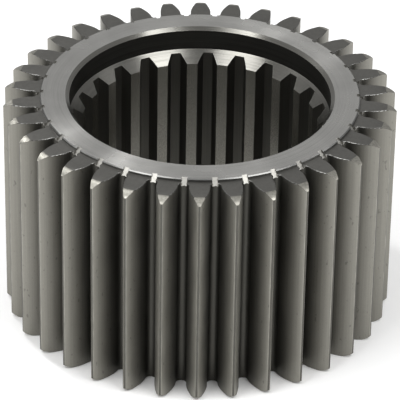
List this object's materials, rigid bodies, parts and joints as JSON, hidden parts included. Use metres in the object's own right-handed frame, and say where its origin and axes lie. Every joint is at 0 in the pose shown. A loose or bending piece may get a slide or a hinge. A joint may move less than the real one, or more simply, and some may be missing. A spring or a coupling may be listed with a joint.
{
  "type": "sun gear",
  "caption": "Straight-toothed steel sun gear with a splined through bore, a counterbored end and a slightly proud ground hub land.",
  "frame": {"origin": "centre of the plain end, on the gear's axis, at the bottom of the bounding box", "axes": "+Z along the gear's axis, from the plain end towards the hub land and counterbore; one tooth points along -Y"},
  "size_m": [0.1196, 0.12, 0.072],
  "materials": {
    "ground_steel": "hardened steel: fine-ground hub land, ground tooth flanks, turned bore"
  },
  "bodies": {
    "root": {"sun_gear": "ground_steel"}
  },
  "joints": []
}
